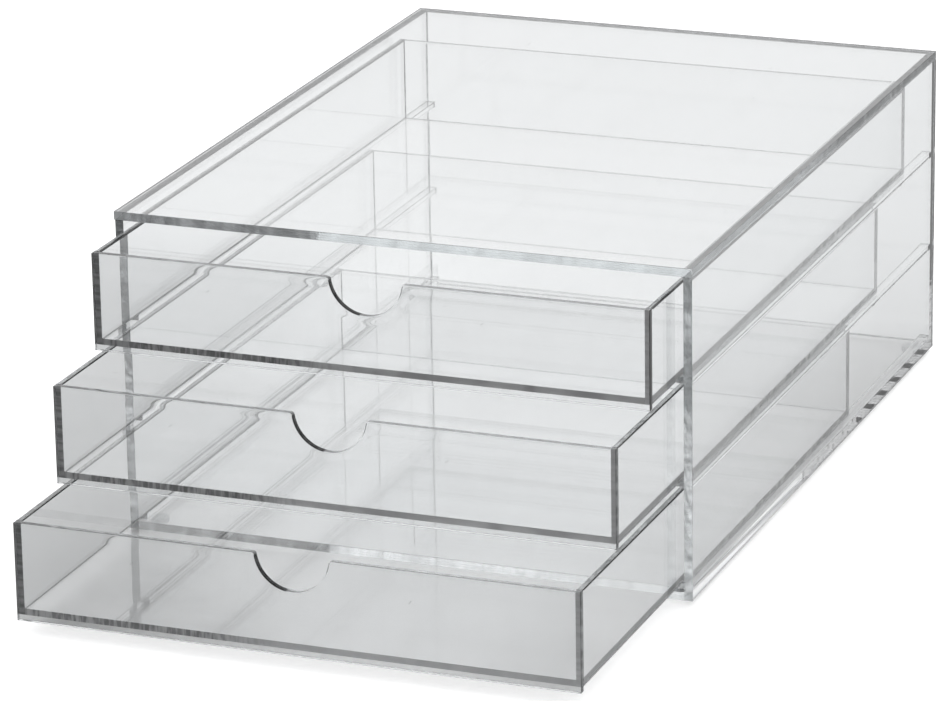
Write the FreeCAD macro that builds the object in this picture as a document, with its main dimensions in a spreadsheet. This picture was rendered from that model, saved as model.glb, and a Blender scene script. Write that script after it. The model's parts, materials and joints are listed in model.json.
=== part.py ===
import FreeCAD, Part

import math
import os
import re

import Sketcher

# Document drawer unit of clear acrylic sheet: a case that is open at the front, and three drawers that
# slide on strips bonded to its side walls. Every panel is one piece of sheet, bonded edge to face.
# The frame is in millimetres. +Z is up and the front faces -Y. The origin lies on the desk, under the
# centre of the case, so the bumper feet reach down to zero height.

DRIVING_SIZES = {
    "case_width": 260,
    "case_depth": 355,
    "case_height": 146,
    "case_sheet": 3.8,
    "top_overhang": 0.6,
    "rail_width": 4.5,
    "rail_sheet": 2.8,
    "rail_setback": 3.2,
    "rail_pitch": 45.6,
    "drawer_width": 248.8,
    "drawer_length": 349.5,
    "drawer_height": 41,
    "drawer_sheet": 2.8,
    "drawer_lift": 0.1,
    "lip_drop": 2.2,
    "cutout_depth": 15.2,
    "cutout_radius": 16.3,
    "shoulder_radius": 1.5,
    "upper_pull": 36.4,
    "middle_pull": 78.1,
    "lower_pull": 120.7,
    "foot_diameter": 8,
    "foot_height": 2,
    "foot_edge": 0.5,
    "foot_inset": 11,
}

# The rail pairs and drawers, counted from the bottom sheet up.
LEVELS = {"lower": 0, "middle": 1, "upper": 2}

# Heights and depths that several pieces share, as expressions of the driving sizes.
CASE_LEFT = "-case_width / 2"
CASE_FRONT = "-case_depth / 2"
UNDERSIDE = "foot_height"
WALL_HEIGHT = "case_height - case_sheet"
INNER_LEFT = "case_sheet - case_width / 2"
INNER_WIDTH = "case_width - 2 * case_sheet"
INNER_DEPTH = "case_depth - case_sheet"
DRAWER_LEFT = "-drawer_width / 2"
DRAWER_INNER_WIDTH = "drawer_width - 2 * drawer_sheet"

# Which way a sheet's face lies: the body plane it is drawn on, and whether its thickness has to be
# turned round to run towards the positive axis.
FLAT = ("XY_Plane", False)
CROSSWISE = ("XZ_Plane", True)
LENGTHWISE = ("YZ_Plane", False)

doc = FreeCAD.newDocument("document_drawer_unit")


def fill_sheet(sizes):
    """Puts the driving sizes in a spreadsheet, one row each, with the size's name as the alias."""
    sheet = doc.addObject("Spreadsheet::Sheet", "Sizes")
    for row, (alias, value) in enumerate(sizes.items(), start=1):
        sheet.set(f"A{row}", alias)
        sheet.set(f"B{row}", str(value))
        sheet.setAlias(f"B{row}", alias)
    doc.recompute()
    return sheet


def bind(target, field, formula):
    """Ties a field to a formula, in which each driving size is written by its own name."""
    words = re.sub(r"[a-z_]+", lambda word: f"<<Sizes>>.{word.group()}", str(formula))
    target.setExpression(field, words)


def plane_of(body, role):
    return next(plane for plane in body.Origin.OriginFeatures if plane.Role == role)


def new_body(name, corner):
    """An empty body whose own origin lies at the corner, given as three formulas."""
    body = doc.addObject("PartDesign::Body", name)
    body.Label = name
    for axis, formula in zip("xyz", corner):
        bind(body, f"Placement.Base.{axis}", formula)
    return body


def new_sketch(body, role):
    sketch = body.newObject("Sketcher::SketchObject", f"{body.Name}_outline")
    sketch.AttachmentSupport = [(plane_of(body, role), "")]
    sketch.MapMode = "FlatFace"
    return sketch


def datum(sketch, name, formula, kind, *geometry):
    """Adds a size constraint, names it and ties it to its formula."""
    index = sketch.addConstraint(Sketcher.Constraint(kind, *geometry))
    sketch.renameConstraint(index, name)
    bind(sketch, f"Constraints.{name}", formula)


def pad(body, sketch, thickness, towards_positive):
    feature = body.newObject("PartDesign::Pad", f"{body.Name}_sheet")
    feature.Profile = sketch
    feature.Reversed = towards_positive
    bind(feature, "Length", thickness)
    sketch.Visibility = False
    return feature


def line(start, end):
    return Part.LineSegment(FreeCAD.Vector(*start, 0), FreeCAD.Vector(*end, 0))


def panel(name, lie, corner, width, height, thickness):
    """A rectangular piece of sheet that grows from its lowest corner."""
    role, reversed_pad = lie
    body = new_body(name, corner)
    sketch = new_sketch(body, role)
    size = 10  # any size will do here, because the named constraints set the real one
    corners = [(0, 0), (size, 0), (size, size), (0, size)]
    for index, start in enumerate(corners):
        sketch.addGeometry(line(start, corners[(index + 1) % len(corners)]))
    for index in range(len(corners)):
        sketch.addConstraint(Sketcher.Constraint("Coincident", index, 2, (index + 1) % len(corners), 1))
    bottom, right, top, left = range(len(corners))
    for edge in (bottom, top):
        sketch.addConstraint(Sketcher.Constraint("Horizontal", edge))
    for edge in (right, left):
        sketch.addConstraint(Sketcher.Constraint("Vertical", edge))
    sketch.addConstraint(Sketcher.Constraint("Coincident", bottom, 1, -1, 1))
    datum(sketch, "width", width, "DistanceX", bottom, 1, bottom, 2, size)
    datum(sketch, "height", height, "DistanceY", right, 1, right, 2, size)
    pad(body, sketch, thickness, reversed_pad)
    return body


def front_outline(sketch, sizes):
    """The drawer front: a rectangle whose top edge dips in a round finger cut-out.

    The cut-out is an arc with its centre just above the top edge, met by a small outward-rounded
    shoulder at each side. The arcs are tangent to each other and to the top edge.
    """
    width = sizes["drawer_width"]
    height = sizes["drawer_height"] + sizes["lip_drop"]
    radius = sizes["cutout_radius"]
    shoulder = sizes["shoulder_radius"]
    rise = radius - sizes["cutout_depth"]
    reach = math.sqrt((radius + shoulder) ** 2 - (rise + shoulder) ** 2)
    turn = math.atan2(rise + shoulder, reach)
    middle = width / 2

    def arc(centre, arc_radius, start, end):
        circle = Part.Circle(FreeCAD.Vector(*centre, 0), FreeCAD.Vector(0, 0, 1), arc_radius)
        return Part.ArcOfCircle(circle, start, end)

    sketch.addGeometry(line((0, 0), (width, 0)))
    sketch.addGeometry(line((width, 0), (width, height)))
    sketch.addGeometry(line((width, height), (middle + reach, height)))
    sketch.addGeometry(arc((middle + reach, height - shoulder), shoulder, math.pi / 2, math.pi - turn))
    sketch.addGeometry(arc((middle, height + rise), radius, math.pi + turn, 2 * math.pi - turn))
    sketch.addGeometry(arc((middle - reach, height - shoulder), shoulder, turn, math.pi / 2))
    sketch.addGeometry(line((middle - reach, height), (0, height)))
    sketch.addGeometry(line((0, height), (0, 0)))

    bottom, right, top_right, right_shoulder, cutout, left_shoulder, top_left, left = range(8)
    for edge in (bottom, top_right, top_left):
        sketch.addConstraint(Sketcher.Constraint("Horizontal", edge))
    for edge in (right, left):
        sketch.addConstraint(Sketcher.Constraint("Vertical", edge))
    for one, end, other, start in (
        (bottom, 2, right, 1),
        (right, 2, top_right, 1),
        (top_left, 2, left, 1),
        (left, 2, bottom, 1),
    ):
        sketch.addConstraint(Sketcher.Constraint("Coincident", one, end, other, start))
    for one, end, other, start in (
        (top_right, 2, right_shoulder, 1),
        (right_shoulder, 2, cutout, 2),
        (cutout, 1, left_shoulder, 1),
        (left_shoulder, 2, top_left, 1),
    ):
        sketch.addConstraint(Sketcher.Constraint("Tangent", one, end, other, start))
    sketch.addConstraint(Sketcher.Constraint("Coincident", bottom, 1, -1, 1))
    sketch.addConstraint(Sketcher.Constraint("Equal", right, left))
    sketch.addConstraint(Sketcher.Constraint("Equal", right_shoulder, left_shoulder))
    datum(sketch, "width", "drawer_width", "DistanceX", bottom, 1, bottom, 2, width)
    datum(sketch, "height", "drawer_height + lip_drop", "DistanceY", right, 1, right, 2, height)
    datum(sketch, "cutout_radius", "cutout_radius", "Radius", cutout, radius)
    datum(sketch, "shoulder_radius", "shoulder_radius", "Radius", right_shoulder, shoulder)
    datum(sketch, "cutout_across", "drawer_width / 2", "DistanceX", -1, 1, cutout, 3, middle)
    centre_height = "drawer_height + lip_drop + cutout_radius - cutout_depth"
    datum(sketch, "cutout_up", centre_height, "DistanceY", -1, 1, cutout, 3, height + rise)


def drawer_front(name, corner, sizes):
    body = new_body(name, corner)
    role, reversed_pad = CROSSWISE
    sketch = new_sketch(body, role)
    front_outline(sketch, sizes)
    pad(body, sketch, "drawer_sheet", reversed_pad)
    return body


def foot(name, centre_x, centre_y):
    """A clear bumper: a short disc under the bottom sheet, with its lower rim rounded."""
    body = new_body(name, (centre_x, centre_y, 0))
    sketch = new_sketch(body, "XY_Plane")
    radius = 5  # any size will do here too
    sketch.addGeometry(Part.Circle(FreeCAD.Vector(0, 0, 0), FreeCAD.Vector(0, 0, 1), radius))
    sketch.addConstraint(Sketcher.Constraint("Coincident", 0, 3, -1, 1))
    datum(sketch, "radius", "foot_diameter / 2", "Radius", 0, radius)
    disc = pad(body, sketch, "foot_height", False)
    doc.recompute()
    lowest = min(disc.Shape.Edges, key=lambda edge: edge.CenterOfMass.z)
    number = next(i for i, edge in enumerate(disc.Shape.Edges, start=1) if edge.isSame(lowest))
    rim = body.newObject("PartDesign::Fillet", f"{name}_rim")
    rim.Base = (disc, [f"Edge{number}"])
    bind(rim, "Radius", "foot_edge")
    return body


def build_case():
    """The five panels of the case. The top sheet lies on the walls and stands out a little at the
    left. The other sheets sit between the walls, and the back covers the bottom sheet's end."""
    top_corner = (f"{CASE_LEFT} - top_overhang", CASE_FRONT, f"{UNDERSIDE} + {WALL_HEIGHT}")
    top_width = "case_width + top_overhang"
    bottom_corner = (INNER_LEFT, CASE_FRONT, UNDERSIDE)
    left_corner = (CASE_LEFT, CASE_FRONT, UNDERSIDE)
    right_corner = ("case_width / 2 - case_sheet", CASE_FRONT, UNDERSIDE)
    back_corner = (INNER_LEFT, "case_depth / 2 - case_sheet", UNDERSIDE)
    wall = ("case_depth", WALL_HEIGHT, "case_sheet")
    return [
        panel("case_top", FLAT, top_corner, top_width, "case_depth", "case_sheet"),
        panel("case_bottom", FLAT, bottom_corner, INNER_WIDTH, INNER_DEPTH, "case_sheet"),
        panel("case_left_wall", LENGTHWISE, left_corner, *wall),
        panel("case_right_wall", LENGTHWISE, right_corner, *wall),
        panel("case_back", CROSSWISE, back_corner, INNER_WIDTH, WALL_HEIGHT, "case_sheet"),
    ]


def build_rails(level, step):
    """The pair of strips that carries one drawer. The lowest pair lies on the bottom sheet."""
    length = f"{INNER_DEPTH} - rail_setback"
    front = f"{CASE_FRONT} + rail_setback"
    bottom = f"{UNDERSIDE} + case_sheet + {step} * rail_pitch"
    sides = {"left": INNER_LEFT, "right": "case_width / 2 - case_sheet - rail_width"}
    return [
        panel(f"rail_{level}_{side}", FLAT, (edge, front, bottom), "rail_width", length, "rail_sheet")
        for side, edge in sides.items()
    ]


def build_drawer(level, step, sizes):
    """One drawer, at the place where it is pulled out by its own amount.

    The front covers the ends of the sides and the floor, and hangs below the floor as a lip that
    stops against the rails. The sides run past the back, and the floor lies between them."""
    front = f"{CASE_FRONT} - {level}_pull"
    behind_front = f"{front} + drawer_sheet"
    underside = f"{UNDERSIDE} + case_sheet + {step} * rail_pitch + rail_sheet + drawer_lift"
    side_length = "drawer_length - drawer_sheet"
    floor_length = "drawer_length - 2 * drawer_sheet"
    back_y = f"{front} + drawer_length - drawer_sheet"
    inner_left = f"{DRAWER_LEFT} + drawer_sheet"
    name = f"{level}_drawer"
    pieces = [drawer_front(f"{name}_front", (DRAWER_LEFT, front, f"{underside} - lip_drop"), sizes)]
    for side, edge in {"left": DRAWER_LEFT, "right": "drawer_width / 2 - drawer_sheet"}.items():
        corner = (edge, behind_front, underside)
        pieces.append(
            panel(f"{name}_{side}_side", LENGTHWISE, corner, side_length, "drawer_height", "drawer_sheet")
        )
    back = (DRAWER_INNER_WIDTH, "drawer_height", "drawer_sheet")
    pieces.append(panel(f"{name}_back", CROSSWISE, (inner_left, back_y, underside), *back))
    floor = (DRAWER_INNER_WIDTH, floor_length, "drawer_sheet")
    pieces.append(panel(f"{name}_floor", FLAT, (inner_left, behind_front, underside), *floor))
    return pieces


def build_feet():
    """Four bumpers, one near each corner of the bottom sheet."""
    across = {"left": "foot_inset - case_width / 2", "right": "case_width / 2 - foot_inset"}
    along = {"front": "foot_inset - case_depth / 2", "rear": "case_depth / 2 - foot_inset"}
    return [
        foot(f"foot_{end}_{side}", centre_x, centre_y)
        for end, centre_y in along.items()
        for side, centre_x in across.items()
    ]


def check(pieces):
    """Stops before anything is written if a feature failed or a piece isn't one valid solid."""
    failed = [item.Name for item in doc.Objects if {"Invalid", "Error"} & set(item.State)]
    if failed:
        raise RuntimeError(f"features failed: {failed}")
    for piece in pieces:
        shape = piece.Shape
        if shape.isNull() or not shape.isValid() or len(shape.Solids) != 1:
            raise RuntimeError(f"{piece.Label} is not one valid solid")


def write(pieces):
    os.makedirs("parts", exist_ok=True)
    for piece in pieces:
        piece.Shape.exportStep(f"parts/{piece.Label}.step")
        box = piece.Shape.BoundBox
        reach = ", ".join(
            f"{axis} {low:.1f} to {high:.1f}"
            for axis, low, high in (
                ("x", box.XMin, box.XMax),
                ("y", box.YMin, box.YMax),
                ("z", box.ZMin, box.ZMax),
            )
        )
        print(f"{piece.Label}: {piece.Shape.Volume / 1000:.2f} cm3, {reach}")


fill_sheet(DRIVING_SIZES)
pieces = build_case()
for level, step in LEVELS.items():
    pieces += build_rails(level, step)
    pieces += build_drawer(level, step, DRIVING_SIZES)
pieces += build_feet()
doc.recompute()
check(pieces)
write(pieces)
print(f"{len(pieces)} pieces written")
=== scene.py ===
from collections import namedtuple
import json
import math

import bmesh
import bpy
import numpy as np
from mathutils import Matrix, Vector


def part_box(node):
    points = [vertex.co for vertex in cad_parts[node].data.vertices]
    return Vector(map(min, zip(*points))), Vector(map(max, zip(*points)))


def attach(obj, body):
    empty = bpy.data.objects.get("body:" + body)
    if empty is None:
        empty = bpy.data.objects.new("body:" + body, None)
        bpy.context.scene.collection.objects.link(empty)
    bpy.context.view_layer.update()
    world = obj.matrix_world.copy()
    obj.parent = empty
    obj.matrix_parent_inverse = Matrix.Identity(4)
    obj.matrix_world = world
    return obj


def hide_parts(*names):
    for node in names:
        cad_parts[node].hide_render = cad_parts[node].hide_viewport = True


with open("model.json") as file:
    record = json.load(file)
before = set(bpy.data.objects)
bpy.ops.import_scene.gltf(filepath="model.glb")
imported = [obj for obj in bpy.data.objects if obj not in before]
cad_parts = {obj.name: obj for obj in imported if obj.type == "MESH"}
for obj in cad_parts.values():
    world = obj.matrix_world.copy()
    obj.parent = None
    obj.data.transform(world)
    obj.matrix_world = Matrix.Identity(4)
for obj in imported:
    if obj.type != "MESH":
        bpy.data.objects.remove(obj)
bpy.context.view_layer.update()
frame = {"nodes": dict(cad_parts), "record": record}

# A document drawer unit of clear acrylic. Each sheet of the frame gets a piece with broken edges, polished
# rims and cemented joints; the rubber feet keep their own meshes. Sizes are in metres. A sheet's own frame
# has u along its width, v up its height, and w from its first face to its last.
JOINT_GAP = 0.00001          # room left for the cement on each side of a joint
CONTACT = 0.00002            # sheets closer than this are cemented together
LEAST_JOINT = 0.0005         # sheets that share less than this in a direction aren't
NEAR = 0.00001               # lines and points closer than this are one
WELD = 0.000002              # corners closer than this become one

CORNER_ROUND = 0.0003        # round of the outline at a sheet's corners
CORNER_MARGIN = 0.00036      # a straight edge is cut no nearer to its ends than this
CORNER_BREAK = 0.00012       # break of the sharp edges there
TAPER = 0.0015               # length over which an edge's own rounding fades in from a corner
FRAME = 0.00005              # flat strip between the rounding and the rest of a face
CEMENTED_BREAK = 0.00005     # break of an edge that is cemented to a face
SAWN_BREAK = 0.00014         # break of a sawn edge
FRONT_END_BREAK = 0.0002     # break of the ends of a drawer's front
RIM_ROUND = 0.0003           # rounding of a flame-polished rim
UPPER_RIM_ROUND = 0.00075    # rounding of the rims inside the upper drawer
LOWER_RIM_ROUND = 0.00045    # rounding of the rims inside the drawers below it

AT_ONCE = (0.0, 0.001)       # where the tone of an edge changes when no stretch is given

CUTOUT_RADIUS = 0.0163
CUTOUT_DEPTH = 0.0152
SHOULDER_RADIUS = 0.0015
FRONT_WIDTH = 0.2488

DECIMALS = 7                 # of the places where an edge or a face is cut
ARC_STEPS = 4
SHOULDER_STEPS = 10
CUTOUT_STEPS = 48
QUARTER = 0.5 * math.pi

# Finishes of a sheet's surfaces, each of which is a material, and the sheet's edges in order.
FINISHES = ("face", "front_face", "sawn", "polished", "clear_cement",
            "left_cement", "right_cement", "floor_cement", "top_cement", "side_cement", "ground")
(FACE, FRONT_FACE, SAWN, POLISHED, CLEAR_CEMENT,
 LEFT_CEMENT, RIGHT_CEMENT, FLOOR_CEMENT, TOP_CEMENT, SIDE_CEMENT, GROUND) = range(len(FINISHES))
BOTTOM, RIGHT, TOP, LEFT = range(4)

ACRYLIC_IOR = 1.49
WHOLE_LENGTH = (1.0, 2.0)    # a stretch that begins beyond the end of every sheet


# The outline of a sheet.

def arc(centre, radius, start, end, steps, outward=1):
    """Points and outward normals of a circular arc, from one angle to the other in equal steps."""
    angle = np.linspace(start, end, steps + 1)
    normal = np.stack([np.cos(angle), np.sin(angle)], axis=1)
    return np.asarray(centre) + radius * normal, outward * normal


def run(start, end, stops):
    """Points on a straight edge, at the stops, which are distances from its start."""
    start, end = np.asarray(start, float), np.asarray(end, float)
    length = np.linalg.norm(end - start)
    along = (end - start) / length
    stops = [stop for stop in stops if CORNER_MARGIN < stop < length - CORNER_MARGIN]
    stops = np.unique(np.round(stops, DECIMALS))
    normal = np.array([along[1], -along[0]])
    return start + stops[:, None] * along, np.tile(normal, (len(stops), 1))


def cutout_edge(width, height, stops):
    """The front's top edge, from right to left, dipping in a round finger cut-out between two shoulders."""
    s, big = SHOULDER_RADIUS, CUTOUT_RADIUS
    rise = big - CUTOUT_DEPTH
    reach = math.sqrt((big + s) ** 2 - (rise + s) ** 2)
    turn = math.atan2(rise + s, reach)
    middle = width / 2
    right = run((width, height), (middle + reach, height), [x for x in stops if x < middle - reach])
    left_stops = [x - middle - reach for x in stops if x > middle + reach]
    left = run((middle - reach, height), (0, height), left_stops)
    return [
        right,
        arc((middle + reach, height - s), s, QUARTER, math.pi - turn, SHOULDER_STEPS),
        arc((middle, height + rise), big, -turn, turn - math.pi, CUTOUT_STEPS, outward=-1),
        arc((middle - reach, height - s), s, turn, QUARTER, SHOULDER_STEPS),
        left,
    ]


class Edge:
    """One edge of a sheet: its finish, how far it is rounded, and its tone, which is painted light and shade.

    The tone may change smoothly to a far tone between two distances from the edge's start, may be black in a
    window of distances, and may be black on the rounding next to the sheet's last face; that black is painted
    dark reflection."""

    def __init__(self, finish, rounding, tone=1.0, far_tone=None, change=AT_ONCE, window=None, painted_dark_line=False):
        self.finish, self.rounding, self.tone, self.change = finish, rounding, tone, change
        self.far_tone = tone if far_tone is None else far_tone
        self.window, self.painted_dark_line = window, painted_dark_line

    def tone_at(self, distance):
        share = np.clip((distance - self.change[0]) / (self.change[1] - self.change[0]), 0, 1)
        tone = self.tone + (self.far_tone - self.tone) * share
        if self.window:
            tone = np.where((distance > self.window[0]) & (distance < self.window[1]), 0.0, tone)
        return tone


# Each point's place, outward normal, edge, rounding radius, place on the face's inner ring, and distance
# from its edge's start.
Outline = namedtuple("Outline", "points normals edges rounding inside distance")


def outline(width, height, rims, cuts_u, cuts_v, cutout):
    """The sheet's anticlockwise outline, with a quarter circle at each corner."""
    r = CORNER_ROUND
    cuts_u, cuts_v = np.array(cuts_u), np.array(cuts_v)
    corners = [(0, 0), (width, 0), (width, height), (0, height)]
    stops = [cuts_u, cuts_v, width - cuts_u, height - cuts_v]
    centres = [(width - r, r), (width - r, height - r), (r, height - r), (r, r)]
    inner = [FRAME + rim.rounding for rim in rims]
    low_u, high_u, low_v, high_v = inner[LEFT], width - inner[RIGHT], inner[BOTTOM], height - inner[TOP]
    inner_corners = [(high_u, low_v), (high_u, high_v), (low_u, high_v), (low_u, low_v)]
    points, normals, edges, rounding, inside, distance = [], [], [], [], [], []
    for edge in (BOTTOM, RIGHT, TOP, LEFT):
        start, end = corners[edge], corners[(edge + 1) % 4]
        full = rims[edge].rounding
        length = math.dist(start, end)
        along = list(stops[edge]) + [TAPER, length - TAPER] + list(rims[edge].change)
        if cutout and edge == TOP:
            parts = cutout_edge(width, height, along)
        else:
            parts = [run(start, end, along)]
        p = np.concatenate([a for a, _ in parts])
        n = np.concatenate([b for _, b in parts])
        away = np.minimum(np.linalg.norm(p - start, axis=1), np.linalg.norm(p - end, axis=1))
        fade = np.clip((away - r) / (TAPER - r), 0, 1)
        ring = np.clip(p - inner[edge] * n, (low_u, low_v), (high_u, high_v))
        corner_p, corner_n = arc(centres[edge], r, (edge - 1) * QUARTER, edge * QUARTER, ARC_STEPS)
        count = len(corner_p)
        points += [p, corner_p]
        normals += [n, corner_n]
        edges += [np.full(len(p), edge), np.full(count, edge)]
        edges[-1][-1] = (edge + 1) % 4
        rounding += [CORNER_BREAK + (full - CORNER_BREAK) * fade, np.full(count, min(CORNER_BREAK, full))]
        inside += [ring, np.tile(inner_corners[edge], (count, 1))]
        distance += [np.linalg.norm(p - start, axis=1), np.full(count, length)]
        distance[-1][-1] = 0
    return Outline(*(np.concatenate(part) for part in (points, normals, edges, rounding, inside, distance)))


# The mesh of a sheet.

class Surface:
    """The vertices and polygons of a mesh as they are gathered."""

    def __init__(self):
        self.count = 0
        self.verts, self.polys, self.finish, self.smooth, self.uvs, self.tones = [], [], [], [], [], []

    def add(self, verts, polys, finish, smooth, uvs, tones):
        """Adds vertices, and polygons that count them from the first of these, with a UV and a tone of
        painted light and shade for each of their corners."""
        self.polys += (self.count + polys).tolist()
        self.count += len(verts)
        self.verts.append(verts)
        self.finish.append(finish)
        self.smooth.append(np.full(len(polys), smooth))
        self.uvs.append(uvs)
        self.tones.append(tones)

    def mesh(self, name, to_frame):
        mesh = bpy.data.meshes.new(name)
        mesh.from_pydata(to_frame(np.concatenate(self.verts)).tolist(), [], self.polys)
        mesh.polygons.foreach_set("use_smooth", np.concatenate(self.smooth))
        mesh.polygons.foreach_set("material_index", np.concatenate(self.finish).astype(np.int32))
        mesh.uv_layers.new(name="edge").data.foreach_set("uv", np.concatenate(self.uvs).ravel())
        # The tone attribute carries painted light and shade.
        tone = mesh.attributes.new("tone", "FLOAT", "CORNER")
        tone.data.foreach_set("value", np.concatenate(self.tones).astype(np.float32))
        shell = bmesh.new()
        shell.from_mesh(mesh)
        bmesh.ops.remove_doubles(shell, verts=shell.verts, dist=WELD)
        shell.to_mesh(mesh)
        shell.free()
        return mesh


def face_uv(u, v, height):
    """The UV of a place on a face: its distance from the left, and from the top."""
    return np.stack([u, height - v], axis=-1)


def ring_grid(path, thickness):
    """The outline carried round the sheet's edge, from the first face to the last.

    Each point lies inside the outline by its inset, against the outward normal, and below the first face
    by its depth. At both faces the inset is r (1 - sin a) and the depth is r (1 - cos a), for the point's
    rounding radius r and angles a from nothing to a quarter turn. The faces' inner rings come first and
    last."""
    quarter = np.linspace(0, QUARTER, ARC_STEPS + 1)
    inset = path.rounding[:, None] * (1 - np.sin(quarter))
    depth = path.rounding[:, None] * (1 - np.cos(quarter))
    inset = np.concatenate([inset, inset[:, ::-1]], axis=1)
    flat = path.points[:, None] - inset[..., None] * path.normals[:, None]
    flat = np.concatenate([path.inside[:, None], flat, path.inside[:, None]], axis=1)
    first = np.zeros((len(path.points), 1))
    last = np.full((len(path.points), 1), thickness)
    depth = np.concatenate([first, depth, thickness - depth[:, ::-1], last], axis=1)
    return np.concatenate([flat, depth[..., None]], axis=2)


def ring_tones(path, rims, columns):
    """How light each corner of the ring's quads is, as painted light and shade. A quad that reaches the next
    edge keeps its tone.
    """
    far = np.roll(path.distance, -1)
    far = np.where(np.roll(path.edges, -1) == path.edges, far, path.distance)
    near_tone, far_tone = (
        np.select([path.edges == edge for edge in range(4)], [rim.tone_at(distance) for rim in rims])
        for distance in (path.distance, far)
    )
    tones = np.stack([near_tone, far_tone, far_tone, near_tone], axis=1)[:, None].repeat(columns, axis=1)
    painted_dark_line = np.array([rim.painted_dark_line for rim in rims])[path.edges]
    # Painted dark reflection: black on the rounding next to the last face, where the edge asks for it.
    tones[painted_dark_line, -1 - ARC_STEPS:-1] = 0.0
    return tones


def ring_uv(path, grid, quads, height):
    """UVs along the outline and across the edge. The strips next to the faces have the faces' UVs."""
    steps = np.linalg.norm(np.roll(path.points, -1, 0) - path.points, axis=1)
    along = np.concatenate([[0], np.cumsum(steps)])
    steps = np.linalg.norm(np.diff(grid, axis=1), axis=2)
    across = np.concatenate([np.zeros((len(grid), 1)), np.cumsum(steps, axis=1)], axis=1)
    next_across = np.roll(across, -1, 0)
    ends = np.stack([along[:-1], along[1:], along[1:], along[:-1]], axis=1)
    u = ends[:, None].repeat(quads.shape[1], axis=1)
    v = np.stack([across[:, :-1], next_across[:, :-1], next_across[:, 1:], across[:, 1:]], axis=2)
    uv = np.stack([u, v], axis=3)
    corner = grid.reshape(-1, 3)[quads]
    uv[:, [0, -1]] = face_uv(corner[..., 0], corner[..., 1], height)[:, [0, -1]]
    return uv


def add_ring(surface, path, size, rims, face):
    """The sheet's edge all round, with the narrow strips that join it to the faces."""
    _, height, thickness = size
    grid = ring_grid(path, thickness)
    n, m = grid.shape[:2]
    i, j = np.arange(n)[:, None], np.arange(m - 1)[None, :]
    k = (i + 1) % n
    quads = np.stack([i * m + j, k * m + j, k * m + j + 1, i * m + j + 1], axis=2)
    finish = np.array([rim.finish for rim in rims])[path.edges][:, None].repeat(m - 1, axis=1)
    finish[:, [0, -1]] = face
    uv = ring_uv(path, grid, quads, height).reshape(-1, 2)
    tones = ring_tones(path, rims, m - 1).ravel()
    surface.add(grid.reshape(-1, 3), quads.reshape(-1, 4), finish.ravel(), True, uv, tones)


def add_face(surface, path, size, level, joints, lines, face, cutout):
    """A face: a grid cut where a joint begins or ends, whose cells are cemented where they lie in a joint.

    On a front the cell below the cut-out is one polygon that follows the curve."""
    height = size[1]
    us, vs = lines
    columns, rows = np.meshgrid(np.arange(len(us) - 1), np.arange(len(vs) - 1), indexing="ij")
    a, b = columns.ravel(), rows.ravel()
    middle = np.searchsorted(us, size[0] / 2) - 1
    if cutout:
        kept = (a != middle) | (b != len(vs) - 2)
        a, b = a[kept], b[kept]
    cell = np.stack([us[[a, a + 1, a + 1, a]], vs[[b, b, b + 1, b + 1]]], axis=2).transpose(1, 0, 2)
    facing = slice(None, None, 1 if level else -1)       # the first face looks the other way
    cell = cell[:, facing]
    u, v = cell.mean(1).T
    finish, tone = np.full(len(cell), face), np.ones(len(cell))
    for u0, v0, u1, v1, (cement, cement_tone) in joints:
        in_joint = (u > u0) & (u < u1) & (v > v0) & (v < v1)
        finish[in_joint], tone[in_joint] = cement, cement_tone
    corner = cell.reshape(-1, 2)
    verts = np.concatenate([corner, np.full((len(corner), 1), level)], axis=1)
    uv = face_uv(corner[:, 0], corner[:, 1], height)
    surface.add(verts, np.arange(len(corner)).reshape(-1, 4), finish, False, uv, np.repeat(tone, 4))
    if cutout:
        on_top = (path.edges == TOP) & (path.inside[:, 0] > us[middle] - NEAR)
        on_top &= path.inside[:, 0] < us[middle + 1] + NEAR
        below = np.array([[us[middle], vs[-2]], [us[middle + 1], vs[-2]]])
        shape = np.concatenate([below, path.inside[on_top]])[facing]
        verts = np.concatenate([shape, np.full((len(shape), 1), level)], axis=1)
        uv = face_uv(shape[:, 0], shape[:, 1], height)
        surface.add(verts, np.arange(len(shape))[None], np.array([face]), False, uv, np.ones(len(shape)))


def sheet_mesh(name, size, face, rims, joints, cutout, to_frame):
    """A cut sheet of the given width, height and thickness, with the joints on its first and last face."""
    width, height, thickness = size
    cuts_u, cuts_v = (
        sorted({round(x, DECIMALS) for side in joints for box in side for x in box[axis:4:2]})
        for axis in (0, 1)
    )
    path = outline(width, height, rims, cuts_u, cuts_v, cutout)
    low, high = path.inside.min(0), path.inside.max(0)
    lines = [
        np.array([low[axis]] + [x for x in cuts if low[axis] + NEAR < x < high[axis] - NEAR] + [high[axis]])
        for axis, cuts in enumerate((cuts_u, cuts_v))
    ]
    surface = Surface()
    add_ring(surface, path, size, rims, face)
    for side, level in enumerate((0.0, thickness)):
        add_face(surface, path, size, level, joints[side], lines, face, cutout)
    return surface.mesh(name, to_frame)


# What each sheet's edges and joints look like. The tones are painted light and shade, black at 0, set against
# the photograph.

# Tones of painted light and shade for the ends of each drawer's front and for the cement of its joints; the
# cut-out's flank is painted dark reflection.
FRONT_END_TONES = {"upper": (0.2, 0.0), "middle": (0.3, 0.2), "lower": (0.2, 0.2)}
LEFT_JOINT_TONES = {"upper": 0.22, "middle": 0.3, "lower": 0.22}
RIGHT_JOINT_TONES = {"upper": 0.66, "middle": 0.66, "lower": 0.64}
FLOOR_JOINT_TONES = {"upper": 0.42, "middle": 0.52, "lower": 0.54}
PAINTED_DARK_FLANK = (0.0035, 0.0162)        # of a cut-out's rim, as distances from the front's middle


def sawn(tone=1.0, far_tone=None, change=AT_ONCE, rounding=SAWN_BREAK):
    return Edge(SAWN, rounding, tone, far_tone, change)


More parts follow.
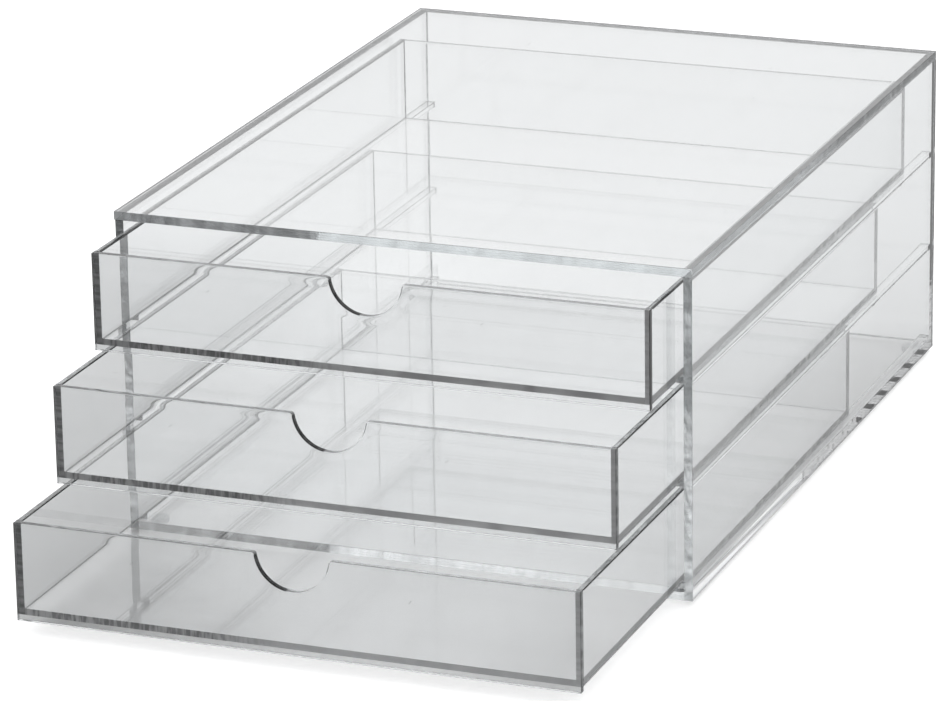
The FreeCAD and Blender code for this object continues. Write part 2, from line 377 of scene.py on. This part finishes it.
def wall_edges(side):
    # Painted shade on the walls' edges: the left wall's are dark, and the right wall's bottom edge is painted
    # darker from 11 cm behind its front, as shadow.
    if side == "left":
        return [sawn(0.05), sawn(0.2), sawn(), sawn(0.3)]
    return [sawn(0.5, 0.12, (0.11, 0.15)), sawn(0.42), sawn(), sawn(0.74)]


def case_top_edges():
    # Painted light and shade: the front edge is darker for 9 cm from the left and lighter beyond, the right
    # edge lighter at the front and darker from 15 cm back, and the ground left edge a little dark.
    front = sawn(0.78, 1.3, (0.088, 0.094))
    right = sawn(1.3, 0.34, (0.15, 0.2))
    return [front, right, sawn(), Edge(GROUND, SAWN_BREAK, 0.7)]


def front_edges(drawer, width):
    """A drawer front's edges, with painted shade on its bottom and ends. The left flank of its cut-out is
    painted black, as dark reflection.
    """
    left, right = FRONT_END_TONES[drawer]
    rim = Edge(POLISHED, RIM_ROUND, window=[width / 2 + distance for distance in PAINTED_DARK_FLANK])
    return [sawn(0.8), sawn(right, rounding=FRONT_END_BREAK), rim, sawn(left, rounding=FRONT_END_BREAK)]


def drawer_edges(drawer, is_side):
    """The edges of a drawer's side, back or floor, with painted shade on the sawn edges. A side's rim gets a
    painted dark reflection on the rounding next to its last face.
    """
    rounding = UPPER_RIM_ROUND if drawer == "upper" else LOWER_RIM_ROUND
    return [sawn(0.35), sawn(0.03), Edge(POLISHED, rounding, painted_dark_line=is_side), sawn(0.3)]


def bare_edges(node, width):
    """A sheet's bottom, right, top and left edges as they are where nothing is cemented to them, with the
    painted light and shade of their tones.
    """
    side = "left" if "left" in node else "right"
    if node.endswith("_wall"):
        return wall_edges(side)
    if node == "case_top":
        return case_top_edges()
    if node == "case_bottom":
        # Painted shade: the case bottom's front edge is dark for 8 cm from the left, and the back's bottom
        # edge and the rails' front ends are darkened.
        return [sawn(0.17, 0.95, (0.08, 0.1))] + [sawn()] * 3
    if node == "case_back":
        return [sawn(0.3)] + [sawn()] * 3
    if node.startswith("rail_"):
        return [sawn(0.08 if side == "left" else 0.5)] + [Edge(POLISHED, RIM_ROUND)] * 3
    drawer = node.split("_")[0]
    if node.endswith("_front"):
        return front_edges(drawer, width)
    return drawer_edges(drawer, "side" in node)


def cement_between(node, other):
    """Which cement is seen on a sheet's face where the other sheet stands on it, and its tone, which is
    painted light and shade.
    """
    if node.endswith("_front"):
        drawer = node.split("_")[0]
        if other.endswith("left_side"):
            return LEFT_CEMENT, LEFT_JOINT_TONES[drawer]
        if other.endswith("right_side"):
            return RIGHT_CEMENT, RIGHT_JOINT_TONES[drawer]
        return FLOOR_CEMENT, FLOOR_JOINT_TONES[drawer]
    if node == "case_top":
        return TOP_CEMENT, 0.42
    if other.endswith("drawer_floor") and node.endswith("left_side"):
        return RIGHT_CEMENT, 0.3
    if other.endswith("drawer_floor") and node.endswith("right_side"):
        return SIDE_CEMENT, 0.46
    return CLEAR_CEMENT, 1.0


# The pieces.

def touching(box, other):
    """Where two boxes meet face to face: the axis, the side of the first box, and the shared rectangle."""
    (low, high), (low2, high2) = box, other
    for axis in range(3):
        for side, gap in ((1, low2[axis] - high[axis]), (0, low[axis] - high2[axis])):
            rest = [i for i in range(3) if i != axis]
            start = [max(low[i], low2[i]) for i in rest]
            end = [min(high[i], high2[i]) for i in rest]
            if abs(gap) < CONTACT and all(e - s > LEAST_JOINT for s, e in zip(start, end)):
                return axis, side, start, end
    return None


def find_joints(node, neighbours, low, axes, rims):
    """The joints on a sheet's first and last face. An edge that stands on another sheet gets cement."""
    a, b, thin = axes
    joints = ([], [])
    for other in neighbours:
        meeting = touching(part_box(node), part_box(other))
        if not meeting:
            continue
        axis, side, start, end = meeting
        if axis == thin:
            rest = [i for i in range(3) if i != axis]
            u, v = rest.index(a), rest.index(b)
            box = [place for p in (start, end) for place in (p[u] - low[a], p[v] - low[b])]
            joints[side ^ (thin == 1)].append((*box, cement_between(node, other)))
        else:
            edge = {(a, 1): RIGHT, (a, 0): LEFT, (b, 1): TOP, (b, 0): BOTTOM}[axis, side]
            rims[edge] = Edge(CLEAR_CEMENT, CEMENTED_BREAK)
    return joints


def use_finishes(mesh, materials):
    """Gives a mesh the materials that its finishes stand for, without those that it doesn't use."""
    index = np.empty(len(mesh.polygons), np.int32)
    mesh.polygons.foreach_get("material_index", index)
    used, packed = np.unique(index, return_inverse=True)
    for finish in used:
        mesh.materials.append(materials[finish])
    mesh.polygons.foreach_set("material_index", packed.astype(np.int32))


def build_sheet(node, body, neighbours, materials):
    """Makes the piece that stands for a sheet node, cemented where it meets the body's other sheets.

    A sheet that faces the front has its rear face first, because x, z and -y make a right-handed set."""
    low, high = (np.array(corner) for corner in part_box(node))
    low, high = low + JOINT_GAP, high - JOINT_GAP
    size = high - low
    thin = int(np.argmin(size))
    a, b = {0: (1, 2), 1: (0, 2), 2: (0, 1)}[thin]
    rims = bare_edges(node, size[a])
    joints = find_joints(node, neighbours, low, (a, b, thin), rims)

    def to_frame(local):
        out = np.empty_like(local)
        out[:, a] = low[a] + local[:, 0]
        out[:, b] = low[b] + local[:, 1]
        out[:, thin] = (high[thin] - local[:, 2]) if thin == 1 else (low[thin] + local[:, 2])
        return out

    cutout = node.endswith("_front")
    face = FRONT_FACE if cutout else FACE
    mesh = sheet_mesh(node + "_sheet", (size[a], size[b], size[thin]), face, rims, joints, cutout, to_frame)
    use_finishes(mesh, materials)
    piece = bpy.data.objects.new(node + "_sheet", mesh)
    bpy.context.scene.collection.objects.link(piece)
    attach(piece, body)
    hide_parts(node)


# The materials.

class Nodes:
    """Short ways to add linked nodes to a tree."""

    def __init__(self, tree):
        self.tree = tree

    def put(self, socket, value):
        """Links another node's output to a socket, or sets its number or colour."""
        if isinstance(value, bpy.types.NodeSocket):
            self.tree.links.new(value, socket)
        else:
            socket.default_value = value

    def add(self, kind, settings=(), **inputs):
        """A new node. Underscores stand for the spaces in its inputs' names."""
        node = self.tree.nodes.new(kind)
        for name, value in dict(settings).items():
            setattr(node, name, value)
        for name, value in inputs.items():
            self.put(node.inputs[name.replace("_", " ")], value)
        return node

    def math(self, operation, a, b=0.0):
        node = self.add("ShaderNodeMath", {"operation": operation})
        self.put(node.inputs[0], a)
        self.put(node.inputs[1], b)
        return node.outputs[0]

    def map_range(self, value, from_min, from_max, to_min=0.0, to_max=1.0):
        node = self.add("ShaderNodeMapRange", {"interpolation_type": "SMOOTHSTEP"}, Value=value)
        limits = {"From Min": from_min, "From Max": from_max, "To Min": to_min, "To Max": to_max}
        for label, limit in limits.items():
            self.put(node.inputs[label], limit)
        return node.outputs["Result"]

    def mix(self, factor, a, b, blend="MIX"):
        node = self.add("ShaderNodeMix", {"data_type": "RGBA", "blend_type": blend})
        self.put(node.inputs["Factor"], factor)
        self.put(node.inputs["A"], a)
        self.put(node.inputs["B"], b)
        return node.outputs["Result"]

    def scaled(self, colour, factor):
        """A plain colour times a changing factor."""
        node = self.add("ShaderNodeVectorMath", {"operation": "SCALE"}, Scale=factor)
        node.inputs[0].default_value = colour
        return node.outputs[0]

    def combine(self, x, y, z=0.0):
        return self.add("ShaderNodeCombineXYZ", X=x, Y=y, Z=z).outputs[0]

    def separate(self, vector):
        return self.add("ShaderNodeSeparateXYZ", Vector=vector).outputs

    def noise(self, vector, detail=2.0, roughness=0.5, scale=1.0):
        node = self.add("ShaderNodeTexNoise", Vector=vector, Scale=scale, Detail=detail, Roughness=roughness)
        return node.outputs["Fac"]

    def bump(self, height, strength, distance):
        node = self.add("ShaderNodeBump", Height=height, Strength=strength, Distance=distance)
        return node.outputs["Normal"]

    def group(self, tree, **inputs):
        return self.add("ShaderNodeGroup", {"node_tree": tree}, **inputs).outputs

    def sheet_uv(self):
        """Metres along and across an edge, or from a face's left and top."""
        return self.add("ShaderNodeUVMap", {"uv_map": "edge"}).outputs[0]

    def sheet_tone(self):
        """The painted light and shade that the sheet gives its edge or its cement."""
        settings = {"attribute_name": "tone", "attribute_type": "GEOMETRY"}
        return self.add("ShaderNodeAttribute", settings).outputs["Fac"]

    def place(self):
        return self.add("ShaderNodeTexCoord").outputs["Object"]


def grey(level):
    return (level, level, level, 1)


def cool(level):
    return (0.993 * level, 0.999 * level, 1.003 * level, 1)


def new_group(name, inputs, outputs):
    """An empty node group with number inputs, and outputs that are numbers or colours."""
    tree = bpy.data.node_groups.new(name, "ShaderNodeTree")
    for label, value in inputs.items():
        tree.interface.new_socket(label, in_out="INPUT", socket_type="NodeSocketFloat").default_value = value
    for label, kind in outputs.items():
        tree.interface.new_socket(label, in_out="OUTPUT", socket_type=kind)
    given, out = tree.nodes.new("NodeGroupInput"), tree.nodes.new("NodeGroupOutput")
    return tree, Nodes(tree), given.outputs, out.inputs


def saw_marks_group():
    """Marks that run across a cut edge: fine noise along the edge, and slower blotches."""
    inputs = {"Marks per metre": 600.0, "Across": 40.0, "Blotches per metre": 60.0, "Low": 0.35, "High": 0.65}
    outputs = {"Marks": "NodeSocketFloat", "Blotches": "NodeSocketFloat"}
    tree, n, given, out = new_group("saw_marks", inputs, outputs)
    u, v, _ = n.separate(n.sheet_uv())
    fine = n.combine(n.math("MULTIPLY", u, given["Marks per metre"]), n.math("MULTIPLY", v, given["Across"]))
    per_metre = given["Blotches per metre"]
    slow = n.combine(n.math("MULTIPLY", u, per_metre), n.math("MULTIPLY", v, per_metre), 7.0)
    n.put(out["Marks"], n.map_range(n.noise(fine), given["Low"], given["High"]))
    n.put(out["Blotches"], n.map_range(n.noise(slow), given["Low"], given["High"]))
    return tree


def spots(n, vector, per_metre, size, share):
    """Round spots, in a share of the cells."""
    settings = {"feature": "F1", "voronoi_dimensions": "2D"}
    cells = n.add("ShaderNodeTexVoronoi", settings, Vector=vector, Scale=per_metre)
    near = n.math("LESS_THAN", cells.outputs["Distance"], size)
    chance = n.add("ShaderNodeSeparateColor", Color=cells.outputs["Color"]).outputs[0]
    return n.math("MULTIPLY", near, n.math("LESS_THAN", chance, share))


def dust_group():
    """Specks and short scuffs here and there on a face, and faint smears."""
    inputs = {"Specks per metre": 40.0, "Speck size": 0.009, "Scuffs per metre": 24.0}
    tree, n, given, out = new_group("dust", inputs, {"Tint": "NodeSocketColor"})
    uv = n.sheet_uv()
    stretched = n.add("ShaderNodeMapping", Vector=uv, Rotation=(0, 0, 0.7), Scale=(1.0, 0.09, 1.0)).outputs[0]
    specks = spots(n, uv, given["Specks per metre"], given["Speck size"], share=0.12)
    scuffs = spots(n, stretched, given["Scuffs per metre"], size=0.004, share=0.2)
    scale = n.add("ShaderNodeVectorMath", {"operation": "MULTIPLY"})
    n.put(scale.inputs[0], n.place())
    n.put(scale.inputs[1], (90, 30, 60))
    smear = n.map_range(n.noise(scale.outputs[0], 4.0, 0.6), 0.45, 0.8)
    clean = n.mix(smear, grey(1.0), grey(0.985))
    n.put(out["Tint"], n.mix(specks, n.mix(scuffs, clean, grey(0.6)), grey(0.2)))
    return tree


SAW_MARKS = saw_marks_group()
DUST = dust_group()


def start_material(name, shade, **inputs):
    """A Principled material whose shadow rays pass straight through, tinted by its shade."""
    material = bpy.data.materials.new(name)
    material.use_nodes = True
    n = Nodes(material.node_tree)
    shader = n.tree.nodes["Principled BSDF"]
    for label, value in {"IOR": ACRYLIC_IOR, **inputs}.items():
        n.put(shader.inputs[label.replace("_", " ")], value)
    clear = n.add("ShaderNodeBsdfTransparent", Color=grey(shade))
    mix = n.add("ShaderNodeMixShader")
    n.put(mix.inputs["Fac"], n.add("ShaderNodeLightPath").outputs["Is Shadow Ray"])
    n.put(mix.inputs[1], shader.outputs["BSDF"])
    n.put(mix.inputs[2], clear.outputs["BSDF"])
    n.put(n.tree.nodes["Material Output"].inputs["Surface"], mix.outputs["Shader"])
    return material, n, shader.inputs


def clear_face(name):
    """A sheet's clear face, with dust on it and the acrylic's faint tint."""
    material, n, surface = start_material(name, 0.98, Roughness=0.0, Transmission_Weight=1.0)
    tint = n.mix(1.0, n.group(DUST)["Tint"], (0.993, 0.996, 0.9975, 1), "MULTIPLY")
    n.put(surface["Base Color"], tint)
    return material, n, surface, tint


def front_face(name):
    """A drawer front's face, which thins a little towards its top edge and the finger cut-out, with painted
    shade towards its left end.
    """
    material, n, surface, tint = clear_face(name)
    u, below, _ = n.separate(n.sheet_uv())
    aside = n.math("POWER", n.math("SUBTRACT", u, FRONT_WIDTH / 2), 2.0)
    under = n.math("POWER", n.math("ADD", below, CUTOUT_RADIUS - CUTOUT_DEPTH), 2.0)
    from_cutout = n.math("SUBTRACT", n.math("SQRT", n.math("ADD", aside, under)), CUTOUT_RADIUS)
    from_rim = n.math("MINIMUM", below, from_cutout)
    n.put(surface["Normal"], n.bump(n.map_range(from_rim, 0.0, 0.0045), 1.0, 0.00004))
    # Painted shade: the face is a little darker over the 9 cm at its left end.
    painted_shade_left = n.mix(n.map_range(u, 0.0, 0.09), grey(0.975), grey(1.0))
    n.put(surface["Base Color"], n.mix(1.0, tint, painted_shade_left, "MULTIPLY"))
    return material


def sawn_edge(name):
    """A cut edge, with the painted light and shade of the sheet's own tone. Saw marks vary it, more so where
    it is dark.
    """
    material, n, surface = start_material(name, 0.97, Transmission_Weight=0.9, Roughness=0.1)
    cut = n.group(SAW_MARKS, Marks_per_metre=260.0, Blotches_per_metre=110.0)
    level = n.math("ADD", n.math("MULTIPLY", cut["Marks"], 0.55), n.math("MULTIPLY", cut["Blotches"], 0.45))
    deep = n.math("POWER", n.sheet_tone(), n.map_range(level, 0.15, 0.85, 1.7, 0.7))
    marked = n.math("MINIMUM", n.math("MULTIPLY", deep, n.map_range(level, 0.15, 0.85, 0.6, 1.0)), 1.0)
    n.put(surface["Base Color"], n.scaled((0.94, 0.985, 1.0), marked))
    n.put(surface["Normal"], n.bump(cut["Marks"], 0.5, 0.00002))
    return material


def polished_rim(name):
    """A flame-polished rim: clear, faintly wavy, and darkened by the painted shade and painted dark
    reflection of the sheet's own tone.
    """
    material, n, surface = start_material(name, 0.97, Roughness=0.0, Transmission_Weight=1.0)
    waves = n.noise(n.place(), detail=1.0, scale=70.0)
    wavy_tone = n.math("MULTIPLY", n.sheet_tone(), n.map_range(waves, 0.3, 0.7, 0.96, 1.0))
    n.put(surface["Base Color"], n.scaled((0.96, 0.965, 0.97), wavy_tone))
    n.put(surface["Normal"], n.bump(waves, 0.25, 0.0002))
    return material


def cement_film(name, cover, darkest, marks, marked_shade=1.0, fade=WHOLE_LENGTH, ior=ACRYLIC_IOR):
    """A film of cement, or a ground edge, seen through the sheet in front of it.

    It is as light as the sheet's own tone says, which is painted light and shade. The stretch with saw marks,
    which darken it, has a painted shade of its own and fades out between two distances along the joint."""
    material, n, surface = start_material(name, 0.98, Roughness=0.4, IOR=ior)
    cut = n.group(SAW_MARKS, **marks)
    along = n.separate(n.sheet_uv())[0]
    shown = n.map_range(along, fade[0], fade[1], 1.0, 0.0)
    level = n.math("ADD", n.math("MULTIPLY", cut["Marks"], 0.7), n.math("MULTIPLY", cut["Blotches"], 0.3))
    dimming = n.map_range(n.math("MULTIPLY", level, shown), 0.0, 1.0, 1.0, darkest)
    shade = n.math("SUBTRACT", 1.0, n.math("MULTIPLY", shown, 1.0 - marked_shade))
    light = n.math("MULTIPLY", n.math("MULTIPLY", n.sheet_tone(), shade), dimming)
    n.put(surface["Base Color"], n.scaled((0.98, 0.985, 1.0), light))
    n.put(surface["Alpha"], n.map_range(cut["Blotches"], 0.0, 1.0, cover, min(1.0, cover + 0.1)))
    return material


def clear_cement(name):
    """Cement that has joined two sheets without a gap, with a few small bubbles left in it."""
    look = {"Base_Color": grey(0.95), "Roughness": 0.0, "Transmission_Weight": 1.0}
    material, n, surface = start_material(name, 1.0, **look)
    cells = n.add("ShaderNodeTexVoronoi", {"feature": "F1"}, Vector=n.place(), Scale=900.0)
    n.put(surface["Alpha"], n.math("LESS_THAN", cells.outputs["Distance"], 0.12))
    return material


def clear_rubber(name):
    """Soft clear rubber, a little cloudy, with fine pits and dust in it."""
    material, n, surface = start_material(name, 0.7, Roughness=0.35, Transmission_Weight=0.5)
    place = n.place()
    cloud = n.map_range(n.noise(place, detail=4.0, scale=500.0), 0.3, 0.7)
    n.put(surface["Base Color"], n.mix(cloud, (0.26, 0.27, 0.285, 1), (0.42, 0.435, 0.45, 1)))
    n.put(surface["Normal"], n.bump(n.noise(place, detail=3.0, scale=2600.0), 0.6, 0.00006))
    return material


def build_materials():
    """The materials of a sheet's surfaces, in the order of the finishes."""
    left_marks = {"Marks_per_metre": 60.0, "Across": 420.0}
    right_marks = {"Marks_per_metre": 60.0, "Across": 500.0}
    floor_marks = {"Marks_per_metre": 520.0, "Across": 90.0}
    top_marks = {"Marks_per_metre": 120.0, "Across": 120.0}
    side_marks = {"Marks_per_metre": 170.0, "Across": 200.0, "Low": 0.36, "High": 0.56}
    ground_marks = {"Marks_per_metre": 180.0, "Across": 60.0}
    made = {
        "face": clear_face("clear_acrylic_face")[0],
        "front_face": front_face("drawer_front_face"),
        "sawn": sawn_edge("sawn_edge"),
        "polished": polished_rim("polished_rim"),
        "clear_cement": clear_cement("clear_cement"),
        # The cements' lightness is painted light and shade per joint, the left joints' darker than the
        # right's; their saw marks are the cement's own.
        "left_cement": cement_film("left_joint_cement", 0.85, 0.45, left_marks, marked_shade=1.25),
        "right_cement": cement_film("right_joint_cement", 0.85, 0.8, right_marks),
        "floor_cement": cement_film("floor_joint_cement", 0.9, 0.3, floor_marks, fade=(0.07, 0.14)),
        "top_cement": cement_film("top_joint_cement", 0.7, 0.8, top_marks),
        "side_cement": cement_film("side_joint_cement", 0.9, 0.05, side_marks, fade=(0.18, 0.12), ior=1.0),
        "ground": cement_film("ground_edge", 0.85, 0.8, ground_marks, ior=1.0),
    }
    return [made[name] for name in FINISHES]


def build_object():
    record = frame["record"]
    materials = build_materials()
    rubber = clear_rubber("clear_rubber")
    for body, nodes in record["behaviour"]["bodies"].items():
        sheets = [node for node in nodes if not node.startswith("foot_")]
        for node in nodes:
            if node in sheets:
                build_sheet(node, body, [other for other in sheets if other != node], materials)
            else:
                frame["nodes"][node].data.materials.clear()
                frame["nodes"][node].data.materials.append(rubber)


# The camera and the studio.

CAMERA_PLACE = (0.794018, -2.117273, 0.80225)
CAMERA_YAW, CAMERA_PITCH, CAMERA_ROLL = -0.373898, -0.323919, -0.016899
CAMERA_LENS, SENSOR_WIDTH = 200.0, 36.0      # in millimetres
FLOOR_REACH = 4.0
FLOOR_DEPTH = 0.0002         # how far the floor lies below the feet
POOL_HALF_WIDTH, POOL_REACH = 0.17, 0.5      # of the light on the desk under the unit
LAMP_PLACE = (-0.2, 0.3, 1.5)
LAMP_SIZE, LAMP_POWER = 0.9, 3


def build_camera():
    """The photograph's view, from a camera that turns right by its yaw, up by its pitch, and rolls."""
    data = bpy.data.cameras.new("photo_view")
    data.lens = CAMERA_LENS
    data.sensor_width = SENSOR_WIDTH
    camera = bpy.data.objects.new("photo_view", data)
    bpy.context.scene.collection.objects.link(camera)
    bpy.context.scene.camera = camera
    yaw, pitch, roll = CAMERA_YAW, CAMERA_PITCH, CAMERA_ROLL
    forward = Vector((math.sin(yaw) * math.cos(pitch), math.cos(yaw) * math.cos(pitch), math.sin(pitch)))
    right = Vector((math.cos(yaw), -math.sin(yaw), 0))
    up = right.cross(forward)
    right, up = (math.cos(roll) * right + math.sin(roll) * up, math.cos(roll) * up - math.sin(roll) * right)
    rotation = Matrix((right, up, -forward)).transposed()
    camera.matrix_world = Matrix.Translation(CAMERA_PLACE) @ rotation.to_4x4()


def build_studio():
    """Grey walls that grow lighter upwards, and white for the camera. The acrylic sees a dark ceiling."""
    world = bpy.data.worlds.new("studio")
    bpy.context.scene.world = world
    world.use_nodes = True
    n = Nodes(world.node_tree)
    path = n.add("ShaderNodeLightPath").outputs
    _, y, z = n.separate(n.add("ShaderNodeTexCoord").outputs["Generated"])
    rear_wall = n.mix(n.map_range(z, 0.12, 0.55), cool(0.74), cool(1.2))
    front_wall = n.mix(n.map_range(z, 0.2, 0.6), cool(0.4), cool(1.2))
    walls = n.mix(n.map_range(y, -0.25, 0.25), front_wall, rear_wall)
    in_acrylic = n.math("MAXIMUM", path["Is Glossy Ray"], path["Is Transmission Ray"])
    ceiling = n.map_range(z, 0.5, 0.75)
    seen = n.mix(n.math("MULTIPLY", in_acrylic, ceiling), walls, grey(0.03))
    n.put(n.tree.nodes["Background"].inputs["Color"], n.mix(path["Is Camera Ray"], seen, grey(1.0)))


def lit_desk(n):
    """The desk as the acrylic sees it, with light and shade painted into its colour: a cloudy pool of light
    under the unit, darker ground around it.
    """
    x, y, _ = n.separate(n.add("ShaderNodeNewGeometry").outputs["Position"])
    across = n.math("DIVIDE", n.math("ADD", x, n.math("MULTIPLY", y, 0.2)), POOL_HALF_WIDTH)
    forward = n.math("DIVIDE", n.math("MINIMUM", n.math("ADD", y, 0.05), 0.0), POOL_REACH)
    reach = n.math("SQRT", n.math("ADD", n.math("POWER", across, 2.0), n.math("POWER", forward, 2.0)))
    clouds = n.noise(n.combine(n.math("MULTIPLY", x, 14.0), n.math("MULTIPLY", y, 22.0)), 3.0, 0.55)
    reach = n.math("ADD", reach, n.math("MULTIPLY", n.math("SUBTRACT", clouds, 0.5), 0.5))
    to_right = n.map_range(x, -0.1, 0.1)
    around = n.mix(to_right, cool(0.56), cool(0.62))
    desk = n.mix(n.map_range(reach, 0.5, 1.15), cool(1.02), around)
    # Painted shadow on the desk at the unit's right side.
    shaded = n.math("MULTIPLY", n.map_range(x, 0.05, 0.12), n.map_range(y, 0.16, 0.08))
    desk = n.mix(n.math("MULTIPLY", shaded, 0.5), desk, grey(0.6))
    behind = n.mix(to_right, cool(0.76), cool(0.67))
    desk = n.mix(n.map_range(y, 0.12, 0.3), desk, behind)
    # Painted shade: the desk in front of the unit is dark.
    return n.mix(n.map_range(y, -0.40, -0.31), grey(0.33), desk)


def build_floor():
    """A pale floor, near white to the camera, on which the unit's shadow stays. To the acrylic it shows the
    desk's painted light and shade.
    """
    s = FLOOR_REACH
    mesh = bpy.data.meshes.new("floor")
    mesh.from_pydata([(-s, -s, 0), (s, -s, 0), (s, s, 0), (-s, s, 0)], [], [(0, 1, 2, 3)])
    floor = bpy.data.objects.new("floor", mesh)
    floor.location.z = -FLOOR_DEPTH
    bpy.context.scene.collection.objects.link(floor)
    material = bpy.data.materials.new("pale_floor")
    material.use_nodes = True
    material.node_tree.nodes.clear()
    n = Nodes(material.node_tree)
    to_camera = n.add("ShaderNodeLightPath").outputs["Is Camera Ray"]
    diffuse = n.add("ShaderNodeBsdfDiffuse", Color=n.mix(to_camera, lit_desk(n), grey(0.8)))
    glow = n.add("ShaderNodeEmission", Strength=n.math("MULTIPLY", to_camera, 0.4))
    both = n.add("ShaderNodeAddShader")
    n.put(both.inputs[0], diffuse.outputs[0])
    n.put(both.inputs[1], glow.outputs[0])
    n.add("ShaderNodeOutputMaterial", Surface=both.outputs[0])
    mesh.materials.append(material)


def build_lamp():
    """A weak softbox above the unit, for its shadow."""
    data = bpy.data.lights.new("overhead_softbox", "AREA")
    data.size = LAMP_SIZE
    data.energy = LAMP_POWER
    lamp = bpy.data.objects.new("overhead_softbox", data)
    bpy.context.scene.collection.objects.link(lamp)
    lamp.location = LAMP_PLACE
    to_origin = -Vector(LAMP_PLACE)
    lamp.rotation_euler = to_origin.to_track_quat("-Z", "Y").to_euler()


build_object()
build_camera()
build_studio()
build_floor()
build_lamp()

scene = bpy.context.scene
scene.view_settings.view_transform = "Standard"
scene.cycles.max_bounces = 64
scene.cycles.transmission_bounces = 64
scene.cycles.glossy_bounces = 32
scene.cycles.transparent_max_bounces = 64
